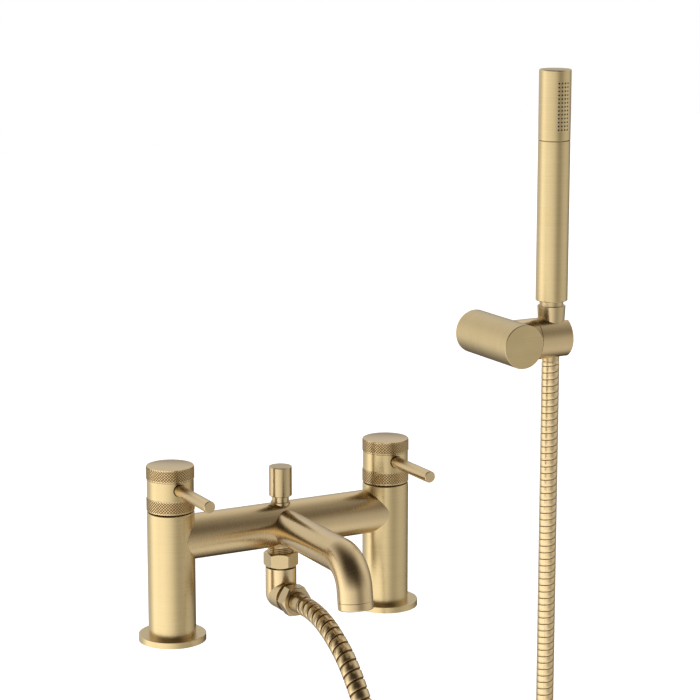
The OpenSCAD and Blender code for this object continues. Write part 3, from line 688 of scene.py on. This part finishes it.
@dataclass(frozen=True)
class Knurl:
    """Diamond knurling: flat-topped pyramids between crossed grooves round a band."""

    radius: float = 17.7 * MM
    depth: float = 0.4 * MM
    around: int = 51
    half_rows: int = 9
    flat_share: float = 0.6

    def cut(self, skin: Skin, low: float, high: float, centre: Vector) -> tuple[list[int], list[int]]:
        """Add the band's lattice to a skin.

        Args:
            skin: The skin to add to.
            low: The band's lower edge.
            high: Its upper edge.
            centre: A point on its axis.

        Returns:
            The indices of its lowest and its highest ring.
        """
        half_turn, half_row = math.pi / self.around, (high - low) / self.half_rows

        def spot(turn: float, level: float, radius: float) -> Vector:
            """Place a point of the lattice.

            Args:
                turn: Half pitches round the band.
                level: Half rows up from its lower edge.
                radius: Distance from the axis.

            Returns:
                The point.
            """
            angle = turn * half_turn
            x, y = centre.x + radius * math.cos(angle), centre.y + radius * math.sin(angle)
            return Vector((x, y, low + level * half_row))

        grooves = []
        for level in range(self.half_rows + 1):
            odd = level % 2
            grooves.append(
                skin.add(spot(2 * i + odd, level, self.radius - self.depth) for i in range(self.around))
            )
        for level, ring in enumerate(grooves):
            odd = level % 2
            for i in range(self.around):
                middle = 2 * i + 1 - odd
                left, right = (ring[i - 1], ring[i]) if odd else (ring[i], ring[(i + 1) % self.around])
                if level == 0:
                    skin.faces.append((left, right, grooves[1][i]))
                    continue
                if level == self.half_rows:
                    skin.faces.append((left, grooves[level - 1][i], right))
                    continue
                corners = (left, grooves[level - 1][i], right, grooves[level + 1][i])
                flat = self.flat_share
                steps = ((-flat, 0.0), (0.0, -flat), (flat, 0.0), (0.0, flat))
                top = skin.add(spot(middle + du, level + dv, self.radius) for du, dv in steps)
                # The flanks take the piece's second material, a darker painted shade
                skin.join(corners, top, groove=True)
                skin.faces.append(top)
        return grooves[0], grooves[-1]


class TapSide(Enum):
    """The two taps, with the place of their pillars along the bridge."""

    HOT = -90.0 * MM
    COLD = 90.0 * MM

    @property
    def label(self) -> str:
        """Start of the tap's node names."""
        return self.name.lower()


@dataclass
class PillarTap:
    """One pillar on its base flange, with a lever handle that has a knurled ring and a knurled cap."""

    side: TapSide
    core_radius: float = 14.55 * MM
    ring_low: float = 98.8 * MM
    ring_high: float = 109.3 * MM
    cap_low: float = 122.7 * MM
    cap_high: float = 132.7 * MM
    cap_roof: float = 3.7 * MM
    bevel: float = 0.35 * MM
    knurl: Knurl = Knurl()

    def turned(self, skin: Skin, radius: float, height: float) -> list[int]:
        """Add a plain ring of the knurling's points to a skin.

        Args:
            skin: The skin to add to.
            radius: The ring's radius.
            height: Its place on the handle's axis.

        Returns:
            The ring's indices.
        """
        place = Matrix.Translation((self.side.value, 0.0, 0.0))
        return skin.add(turned_ring(radius, height, self.knurl.around, place))

    def knurled_band(self, name: str, low: float, high: float, roof: float) -> bpy.types.Object:
        """Make a knurled ring, or a knurled cap.

        Args:
            name: The piece's name.
            low: Its lower edge.
            high: Its upper edge.
            roof: How thick the cap's top is, or 0 for an open ring.

        Returns:
            The new piece.
        """
        skin = Skin()
        rim = self.knurl.radius - self.bevel
        band_low, band_high = self.knurl.cut(
            skin, low + self.bevel, high - self.bevel, Vector((self.side.value, 0.0, 0.0))
        )
        inner_low = self.turned(skin, self.core_radius, low)
        rings = [inner_low, self.turned(skin, rim - self.bevel, low), band_low]
        upper = [
            band_high,
            self.turned(skin, rim, high - self.bevel / 3),
            self.turned(skin, rim - self.bevel, high),
        ]
        inner_high = self.turned(skin, self.core_radius, high - roof)
        if roof:
            skin.faces.append(upper[-1])
            skin.faces.append(inner_high)
        else:
            upper.append(inner_high)
        for chain in (rings, upper, [inner_high, inner_low]):
            for a, b in zip(chain, chain[1:]):
                skin.join(a, b)
        return skin.piece(name, crease_deg=20.0)

    def build(self) -> None:
        """Make the knurled ring and cap."""
        label = self.side.label
        finish = KNURLED_BRASS.material(), KNURL_FLANK_SHADE_BRASS.material()
        ring = self.knurled_band(f"{label}_knurled_ring", self.ring_low, self.ring_high, 0.0)
        settle(ring, f"{label}_handle", f"{label}_handle_ring", *finish)
        cap = self.knurled_band(f"{label}_knurled_cap", self.cap_low, self.cap_high, self.cap_roof)
        settle(cap, f"{label}_handle", f"{label}_handle_cap", *finish)

    def dress(self, nodes: Nodes) -> None:
        """Give the tap's CAD nodes their finish.

        Args:
            nodes: The frame's nodes by name.
        """
        label = self.side.label

        def mine(*kinds: str) -> list[str]:
            """Name this tap's own nodes."""
            return [f"{label}_{kind}" for kind in kinds]

        dress(nodes, mine("base_flange", "pillar", "handle_body"), BRASS.material(BrushWay.ROUND_Z))
        dress(nodes, mine("lever"), FINE_BRASS.material(BrushWay.ROUND_Y))
        dress(nodes, mine("valve_body", "spindle"), TURNED_BRASS.material())
        dress(nodes, mine("base_gasket", "valve_seal"), NITRILE_RUBBER.material())
        dress(nodes, mine("fixed_disc", "moving_disc"), ALUMINA_CERAMIC.material())
        dress(nodes, mine("handle_screw"), STAINLESS_STEEL.material())


@dataclass
class BridgeAndSpout:
    """The bridge tube between the pillars, and the spout that bends down from it."""

    axis_height: float = 76.5 * MM
    bridge_radius: float = 16.75 * MM
    spout_radius: float = 12.85 * MM
    wall: float = 1.6 * MM
    straight: float = 95.0 * MM
    bend_radius: float = 22.7 * MM
    turn_deg: float = 82.0
    tail: float = 8.4 * MM
    sides: int = 96
    bend_steps: int = 40

    def stations(self) -> list[tuple[Vector, Vector, float]]:
        """Walk along the spout's axis from the end of the saddle to the mouth ring.

        Returns:
            For each station its centre, its upward cross direction and its length along the axis.
        """
        start = Vector((0.0, -self.straight, self.axis_height - self.bend_radius))
        places = []
        for k in range(self.bend_steps + 1):
            turn = math.radians(self.turn_deg) * k / self.bend_steps
            up = Vector((0.0, -math.sin(turn), math.cos(turn)))
            places.append((start + self.bend_radius * up, up, self.straight + self.bend_radius * turn))
        centre, up, along = places[-1]
        ahead = Vector((0.0, -up.z, up.y))
        places.append((centre + self.tail * ahead, up, along + self.tail))
        return places

    def ring(self, centre: Vector, up: Vector, radius: float) -> Ring:
        """Make a ring of the spout across its axis.

        Args:
            centre: Its middle.
            up: The upward cross direction.
            radius: Its radius.

        Returns:
            The ring's points.
        """
        turns = [math.tau * j / self.sides for j in range(self.sides)]
        across = Vector((1.0, 0.0, 0.0))
        return [centre + radius * (math.cos(t) * across + math.sin(t) * up) for t in turns]

    def saddle(self, radius: float) -> Ring:
        """Make the ring where the spout meets the bridge tube.

        Args:
            radius: Its radius, seen along the spout.

        Returns:
            The ring's points.
        """
        ring = self.ring(Vector((0.0, 0.0, self.axis_height)), Vector((0.0, 0.0, 1.0)), radius)
        for point in ring:
            point.y = -math.sqrt(self.bridge_radius**2 - (point.z - self.axis_height) ** 2)
        return ring

    def build(self) -> None:
        """Make the spout as one bent tube."""
        skin = Skin()
        stations = self.stations()
        inner = self.spout_radius - self.wall
        shells = []
        for radius in (self.spout_radius, inner):
            rings = [self.ring(centre, up, radius) for centre, up, _ in stations]
            shells.append(skin.tube([self.saddle(radius), *rings]))
        outside, inside = shells
        skin.join(inside[0], outside[0])
        skin.join(outside[-1], inside[-1])
        spout = skin.piece("spout_tube")
        layer = spout.data.uv_layers.new(name="path")
        alongs = [self.bridge_radius, *(along for _, _, along in stations)]
        around = math.tau * self.spout_radius
        for face in spout.data.polygons:
            wraps = len({index % self.sides for index in face.vertices} & {0, self.sides - 1}) == 2
            for corner, index in zip(face.loop_indices, face.vertices):
                row, j = divmod(index, self.sides)
                u = 1.0 if wraps and j == 0 else j / self.sides
                layer.data[corner].uv = (u * around, alongs[row % len(alongs)])
        settle(spout, "mixer", "spout", FINE_BRASS.material(BrushWay.ROUND_PATH))

    def dress(self, nodes: Nodes) -> None:
        """Give the bridge and the mouth their finish.

        Args:
            nodes: The frame's nodes by name.
        """
        dress(nodes, ["bridge_tube"], FINE_BRASS.material(BrushWay.ROUND_X))
        dress(nodes, ["aerator_ring"], FINE_BRASS.material(BrushWay.ROUND_Z))
        dress(nodes, ["aerator"], ACETAL_PLASTIC.material())


@dataclass
class Diverter:
    """The pull-up knob on the bridge that sends the water to the shower."""

    def dress(self, nodes: Nodes) -> None:
        """Give the diverter's pieces their finish.

        Args:
            nodes: The frame's nodes by name.
        """
        dress(nodes, ["diverter_bush", "diverter_knob"], FITTING_BRASS.material(BrushWay.ROUND_Z))
        dress(nodes, ["diverter_stem"], TURNED_BRASS.material())
        dress(nodes, ["diverter_disc"], NITRILE_RUBBER.material())


@dataclass(frozen=True)
class HexNut:
    """A hexagon nut with chamfered ends, its Z axis along the thread."""

    height: float
    bore_radius: float
    across_flats: float = 23.0 * MM
    first_corner_deg: float = 0.0
    chamfer_deg: float = 30.0
    # The end faces are this share of the width across flats
    face_share: float = 0.96
    # Half the width of a corner's rounding, and steps from a corner to the middle of a flat, in degrees
    corner_soft_deg: float = 2.0
    steps_deg: tuple[float, ...] = (0.0, 0.5, 1.0, 1.5, 2.0, 4.0, 8.0, 15.0, 22.0)

    def outline(self) -> list[tuple[float, float]]:
        """Draw the hexagon with its rounded corners.

        Returns:
            The angle in radians and the radius of each point.
        """
        flat, half_side = self.across_flats / 2, 30.0
        soft = self.corner_soft_deg
        points = []
        for corner in range(6):
            for step in (*(-d for d in reversed(self.steps_deg)), *self.steps_deg[1:], half_side):
                # Inside the rounding, the reach rises to the corner as a circle's arc would
                lean = half_side - (abs(step) if abs(step) > soft else soft / 2 + step**2 / (2 * soft))
                turn = math.radians(self.first_corner_deg + 2 * half_side * corner + step)
                points.append((turn, flat / math.cos(math.radians(lean))))
        return points

    def build(self, name: str, place: Matrix) -> bpy.types.Object:
        """Make the nut.

        Args:
            name: The piece's name.
            place: Takes its axis, from its lower end, to its place in the frame.

        Returns:
            The new piece.
        """
        face = self.face_share * self.across_flats / 2
        slope = math.tan(math.radians(self.chamfer_deg))
        outline = self.outline()

        def ring(reach: Reach, height: Reach) -> Ring:
            """Make a ring whose radius and height depend on the hexagon's own radius.

            Args:
                reach: Gives the ring's radius.
                height: Gives its place along the axis.

            Returns:
                The ring's points.
            """
            return [
                place @ Vector((reach(r) * math.cos(turn), reach(r) * math.sin(turn), height(r)))
                for turn, r in outline
            ]

        skin = Skin()
        rings = skin.tube(
            [
                ring(lambda r: self.bore_radius, lambda r: 0.0),
                ring(lambda r: face, lambda r: 0.0),
                ring(lambda r: r, lambda r: (r - face) * slope),
                ring(lambda r: r, lambda r: self.height - (r - face) * slope),
                ring(lambda r: face, lambda r: self.height),
                ring(lambda r: self.bore_radius, lambda r: self.height),
            ]
        )
        skin.join(rings[-1], rings[0])
        return skin.piece(name, crease_deg=25.0)


@dataclass
class ShowerOutlet:
    """Threaded nipple under the bridge, union nut, elbow and the hose's nut and ferrule."""

    bridge: BridgeAndSpout
    nipple_radius: float = 9.8 * MM
    nipple_low: float = 50.2 * MM
    bore_radius: float = 5.5 * MM
    thread_pitch: float = 1.4 * MM
    thread_depth: float = 0.5 * MM
    # Above 1, the thread's crests are broader than its roots
    crest_power: float = 1.3
    # Deeper than this share of the thread's depth the faces take the painted shade
    groove_share: float = 0.8
    rows_per_turn: int = 10
    sides: int = 96
    union_nut_low: float = 43.9 * MM
    union_nut_height: float = 11.2 * MM
    union_nut_bore: float = 9.85 * MM
    hose_nut_y: float = -17.6 * MM
    hose_nut_height: float = 9.8 * MM
    hose_nut_bore: float = 7.55 * MM
    hose_nut_flats: float = 21.5 * MM
    elbow_height: float = 22.5 * MM
    # Radius and distance from the elbow, in millimetres, of each ring of the hose's ferrule
    ferrule_mm: tuple[tuple[float, float], ...] = (
        (4.0, 22.9), (8.8, 22.9), (8.8, 24.9), (7.5, 24.9), (7.5, 26.6),
        (6.8, 26.9), (6.8, 27.9), (7.4, 28.2), (7.2, 38.9), (6.4, 39.1), (6.4, 40.0), (4.0, 40.0),
    )
    # Its shadow gaps, at the nut and where the strip begins
    ferrule_grooves: tuple[int, ...] = (4, 5, 6, 8, 9)

    def build(self) -> None:
        """Make the nipple, both nuts and the hose's ferrule."""
        round_z, round_y = FITTING_BRASS.material(BrushWay.ROUND_Z), FITTING_BRASS.material(BrushWay.ROUND_Y)
        settle(self.nipple(), "mixer", "shower_nipple", round_z, GROOVE_SHADE_BRASS.material())
        union = HexNut(self.union_nut_height, self.union_nut_bore, first_corner_deg=30.0)
        union_place = Matrix.Translation((0.0, 0.0, self.union_nut_low))
        settle(union.build("union_nut_hexagon", union_place), "mixer", "union_nut", round_z)
        nut = HexNut(self.hose_nut_height, self.hose_nut_bore, across_flats=self.hose_nut_flats)
        lean = Matrix.Rotation(math.radians(90), 4, "X")
        nut_place = Matrix.Translation((0.0, self.hose_nut_y, self.elbow_height)) @ lean
        settle(nut.build("hose_nut_hexagon", nut_place), "mixer", "hose_nut", round_y)
        settle(self.ferrule(lean), "mixer", "hose_ferrule", round_y, GROOVE_SHADE_BRASS.material())

    def ferrule(self, lean: Matrix) -> bpy.types.Object:
        """Turn the hose's ferrule.

        Args:
            lean: Takes the vertical axis to the hose's own.

        Returns:
            The new piece.
        """
        skin = Skin()
        place = Matrix.Translation((0.0, 0.0, self.elbow_height)) @ lean
        rings = [skin.add(turned_ring(r * MM, h * MM, self.sides, place)) for r, h in self.ferrule_mm]
        for k, ring in enumerate(rings):
            skin.join(rings[k - 1], ring, groove=k - 1 in self.ferrule_grooves)
        return skin.piece("hose_ferrule_sleeve")

    def thread_radius(self, height: float, turn: float) -> float:
        """Cut the nipple's thread.

        Args:
            height: Place along its axis.
            turn: Angle round it, in radians.

        Returns:
            The radius there.
        """
        phase = math.tau * height / self.thread_pitch - turn
        return self.nipple_radius - self.thread_depth * (0.5 - 0.5 * math.cos(phase)) ** self.crest_power

    def nipple(self) -> bpy.types.Object:
        """Make the nipple, with a rounded helical thread up to the bridge tube's underside.

        Returns:
            The new piece.
        """
        skin = Skin()
        place = Matrix.Identity(4)
        bridge_low = self.bridge.axis_height - self.bridge.bridge_radius
        rows = math.ceil((bridge_low - self.nipple_low) / self.thread_pitch * self.rows_per_turn)
        rings = []
        for k in range(rows + 1):
            height = self.nipple_low + (bridge_low - self.nipple_low) * k / rows
            rings.append(turned_ring(partial(self.thread_radius, height), height, self.sides, place))
        saddle = turned_ring(self.nipple_radius - self.thread_depth, 0.0, self.sides, place)
        for point in saddle:
            point.z = self.bridge.axis_height - math.sqrt(self.bridge.bridge_radius**2 - point.y**2)
        outside = skin.tube([*rings, saddle])
        # Faces deep in the thread take the second material, painted dark as shade
        root = self.nipple_radius - self.groove_share * self.thread_depth
        for k, face in enumerate(skin.faces):
            if sum(skin.points[i].xy.length for i in face) / len(face) < root:
                skin.grooved.append(k)
        bore = (turned_ring(self.bore_radius, h, self.sides, place) for h in (self.nipple_low, bridge_low))
        inside = skin.tube(bore)
        skin.join(inside[0], outside[0])
        skin.join(outside[-1], inside[-1])
        return skin.piece("shower_nipple_thread", crease_deg=60.0)

    def dress(self, nodes: Nodes) -> None:
        """Give the elbow and the washers their finish.

        Args:
            nodes: The frame's nodes by name.
        """
        dress(nodes, ["outlet_elbow"], FINE_BRASS.material(BrushWay.ROUND_Z))
        dress(nodes, ["elbow_washer", "hose_washer"], NITRILE_RUBBER.material())


@dataclass
class WallBracket:
    """The wall post, its arm and the turning holder."""

    def dress(self, nodes: Nodes) -> None:
        """Give the bracket's pieces their finish.

        Args:
            nodes: The frame's nodes by name.
        """
        dress(nodes, ["wall_post"], BRASS.material(BrushWay.ROUND_Y))
        dress(nodes, ["arm_stub", "handset_holder"], FINE_BRASS.material(BrushWay.ROUND_X))
        dress(nodes, ["wall_plate"], TURNED_BRASS.material())
        dress(nodes, ["post_grub_screw", "pivot_screw"], STAINLESS_STEEL.material())


@dataclass
class Handset:
    """The pencil handset with its cone nut, neck, barrel, spray head and nozzles."""

    def dress(self, nodes: Nodes) -> None:
        """Give the handset's pieces their finish.

        Args:
            nodes: The frame's nodes by name.
        """
        dress(nodes, ["handset_barrel", "spray_head"], BRASS.material(BrushWay.ROUND_Z))
        fittings = ["cone_nut", "handset_neck", "hose_end_ferrule"]
        dress(nodes, fittings, FITTING_BRASS.material(BrushWay.ROUND_Z))
        dress(nodes, ["handset_washer", "nozzle_rubber"], NITRILE_RUBBER.material())


def bearing(azimuth_deg: float, elevation_deg: float) -> Vector:
    """Give a direction from the object.

    Args:
        azimuth_deg: 0 is in front of the spout, 90 towards the bracket.
        elevation_deg: Rise above the level.

    Returns:
        The direction, of length 1.
    """
    turn, rise = math.radians(azimuth_deg), math.radians(elevation_deg)
    return Vector((math.sin(turn) * math.cos(rise), -math.cos(turn) * math.cos(rise), math.sin(rise)))


@dataclass(frozen=True)
class SoftPanel:
    """A soft patch of light in the studio's surroundings."""

    azimuth_deg: float
    elevation_deg: float
    level: float
    spread_deg: float = 19.0


@dataclass
class Studio:
    """White studio: the photograph's camera, a white floor, and soft surroundings that the metal shows."""

    target: tuple[float, float, float] = (0.05923, 0.0, 0.204045)
    azimuth_deg: float = -28.183
    elevation_deg: float = 11.606
    distance: float = 1.81482
    lens_mm: float = 123.879
    sensor_mm: float = 36.0
    near_clip: float = 0.01
    floor_size: float = 12.0
    floor_gap: float = 2.0 * MM
    # Matt white paint on board: an even white that keeps a faint shadow
    floor_colour: str = "#F4F3F0"
    floor_glow: float = 0.82
    # The unlit room is warm, and its colour fades into the white of the panels up to this level
    room_colour: str = "#FFEBD4"
    white_from: float = 0.6
    dimmest: float = 0.05
    panels: tuple[SoftPanel, ...] = (
        SoftPanel(-117, -21, 1.61),
        SoftPanel(-65, -27, 1.42),
        SoftPanel(-125, 17, 0.95),
        SoftPanel(-177, 23, 0.95),
        SoftPanel(-32, -17, 0.89),
        SoftPanel(8, -53, 0.86),
        SoftPanel(78, 35, 0.81),
        SoftPanel(130, 29, 0.80),
        SoftPanel(-85, -12, 0.61),
        SoftPanel(85, -4, 0.60),
        SoftPanel(-170, -15, 0.57),
        SoftPanel(60, -63, 0.50),
        SoftPanel(53, -14, 0.50),
        SoftPanel(143, 63, 0.47),
        SoftPanel(-12, -33, 0.44),
        SoftPanel(33, 1, 0.38),
    )

    def place_camera(self) -> None:
        """Set the camera where the photograph was taken from."""
        data = bpy.data.cameras.new("photo_camera")
        data.lens = self.lens_mm
        data.sensor_width = self.sensor_mm
        data.clip_start = self.near_clip
        camera = bpy.data.objects.new("photo_camera", data)
        bpy.context.scene.collection.objects.link(camera)
        back = bearing(self.azimuth_deg, self.elevation_deg)
        camera.location = Vector(self.target) + self.distance * back
        camera.rotation_euler = back.to_track_quat("Z", "Y").to_euler()
        bpy.context.scene.camera = camera
        bpy.context.scene.view_settings.view_transform = "Standard"

    def lay_floor(self, lowest: float) -> None:
        """Lay the floor; only the camera sees it, so that the panels below it still light the metal.

        Args:
            lowest: Height of the object's lowest point.
        """
        half, height = self.floor_size / 2, lowest - self.floor_gap
        mesh = bpy.data.meshes.new("studio_floor")
        square = ((-half, -half), (half, -half), (half, half), (-half, half))
        corners = [(x, y, height) for x, y in square]
        mesh.from_pydata(corners, [], [(0, 1, 2, 3)])
        floor = bpy.data.objects.new("studio_floor", mesh)
        bpy.context.scene.collection.objects.link(floor)
        for ray in ("diffuse", "glossy", "transmission", "shadow"):
            setattr(floor, f"visible_{ray}", False)
        material = empty_material("matt_white_painted_board")
        tree = material.node_tree
        paint = add_node(tree, "ShaderNodeBsdfDiffuse", {"Color": linear_colour(self.floor_colour)})
        glow = add_node(tree, "ShaderNodeEmission", {"Strength": self.floor_glow})
        board = add_node(tree, "ShaderNodeAddShader", {0: paint.outputs[0], 1: glow.outputs[0]})
        clear = add_node(tree, "ShaderNodeBsdfTransparent")
        below = add_node(tree, "ShaderNodeNewGeometry").outputs["Backfacing"]
        surface = add_node(tree, "ShaderNodeMixShader", {0: below, 1: board.outputs[0], 2: clear.outputs[0]})
        add_node(tree, "ShaderNodeOutputMaterial", {"Surface": surface.outputs[0]})
        mesh.materials.append(material)
        floor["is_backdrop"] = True

    def light(self) -> None:
        """Make the world: white to the camera, and the studio's soft panels to the metal."""
        world = bpy.data.worlds.new("studio")
        bpy.context.scene.world = world
        world.use_nodes = True
        tree = world.node_tree
        tree.nodes.clear()
        way = add_node(tree, "ShaderNodeTexCoord").outputs["Generated"]
        level: bpy.types.NodeSocket | float = 0.0
        for panel in self.panels:
            sharpness = 1 / math.radians(panel.spread_deg) ** 2
            towards = bearing(panel.azimuth_deg, panel.elevation_deg)
            facing = add_node(
                tree, "ShaderNodeVectorMath", {0: way, 1: towards}, operation="DOT_PRODUCT"
            ).outputs["Value"]
            fall = add_node(
                tree, "ShaderNodeMath", {0: facing, 1: sharpness, 2: -sharpness}, operation="MULTIPLY_ADD"
            ).outputs[0]
            glow = add_node(tree, "ShaderNodeMath", {0: fall}, operation="EXPONENT").outputs[0]
            level = add_node(
                tree, "ShaderNodeMath", {0: glow, 1: panel.level, 2: level}, operation="MULTIPLY_ADD"
            ).outputs[0]
        rays = add_node(tree, "ShaderNodeLightPath").outputs
        dim = add_node(
            tree, "ShaderNodeMath", {0: rays["Is Glossy Ray"], 1: self.dimmest}, operation="MULTIPLY"
        ).outputs[0]
        strength = add_node(tree, "ShaderNodeMath", {0: level, 1: dim}, operation="MAXIMUM").outputs[0]
        for ray in ("Is Camera Ray", "Is Transmission Ray"):
            strength = add_node(
                tree, "ShaderNodeMath", {0: strength, 1: rays[ray]}, operation="MAXIMUM"
            ).outputs[0]
        whiteness = add_node(tree, "ShaderNodeMapRange", {0: strength, 2: self.white_from}).outputs[0]
        tint = add_node(
            tree,
            "ShaderNodeMix",
            {0: whiteness, 6: linear_colour(self.room_colour), 7: (1.0, 1.0, 1.0, 1.0)},
            data_type="RGBA",
        ).outputs[2]
        shine = add_node(tree, "ShaderNodeBackground", {"Color": tint, "Strength": strength})
        add_node(tree, "ShaderNodeOutputWorld", {"Surface": shine.outputs[0]})


def main() -> None:
    """Build every sub-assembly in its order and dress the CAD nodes."""
    logging.basicConfig(level=logging.INFO, format="%(message)s")
    nodes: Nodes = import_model()["nodes"]
    cad_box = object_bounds()
    studio = Studio()
    studio.place_camera()
    ShowerHose().build()
    taps = [PillarTap(side) for side in TapSide]
    bridge = BridgeAndSpout()
    outlet = ShowerOutlet(bridge)
    for assembly in (*taps, bridge, outlet):
        assembly.build()
    for assembly in (*taps, bridge, outlet, Diverter(), WallBracket(), Handset()):
        assembly.dress(nodes)
    studio.lay_floor(cad_box[0][2])
    studio.light()


if __name__ == "__main__":
    main()
